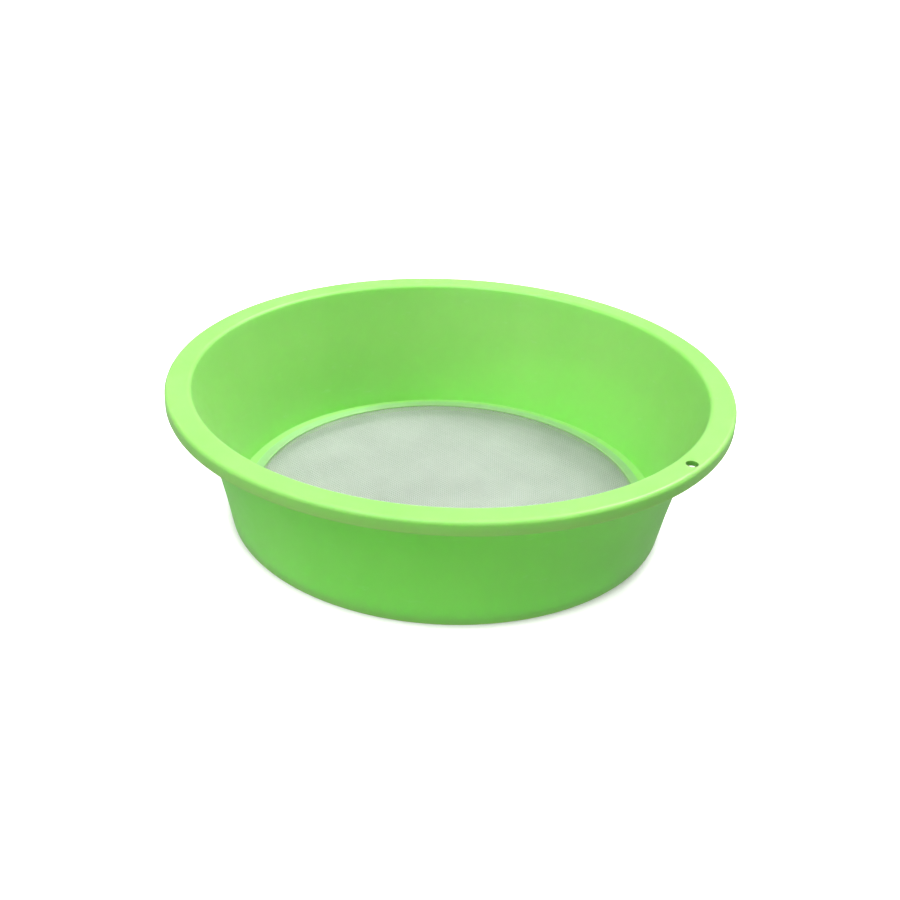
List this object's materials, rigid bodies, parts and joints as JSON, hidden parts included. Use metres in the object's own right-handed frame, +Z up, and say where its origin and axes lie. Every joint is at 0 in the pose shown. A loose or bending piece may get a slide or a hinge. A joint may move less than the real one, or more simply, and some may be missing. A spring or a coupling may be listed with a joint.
{
  "type": "gold sifting pan",
  "caption": "Round moulded plastic sifting pan with a flat flanged rim, a hang hole, tapering wall and a fine woven-wire bottom held by a ring.",
  "frame": {"origin": "centre of the foot, on the ground that the pan stands on", "axes": "+Z up along the pan's axis towards the mouth; the screen's warp wires run along Y and its weft wires along X; the hang hole is 37.2 degrees clockwise from +X seen from above"},
  "size_m": [0.3366, 0.3366, 0.0865],
  "materials": {
    "green_plastic": "smooth injection-moulded polypropylene, satin gloss, slightly translucent bright green",
    "ring_plastic": "same moulded plastic as the pan, satin gloss",
    "screen_wire": "drawn stainless steel wire, light grey"
  },
  "bodies": {
    "root": {"pan_body": "green_plastic", "retaining_ring": "ring_plastic", "warp_wires": "screen_wire", "weft_wires": "screen_wire"}
  },
  "joints": []
}
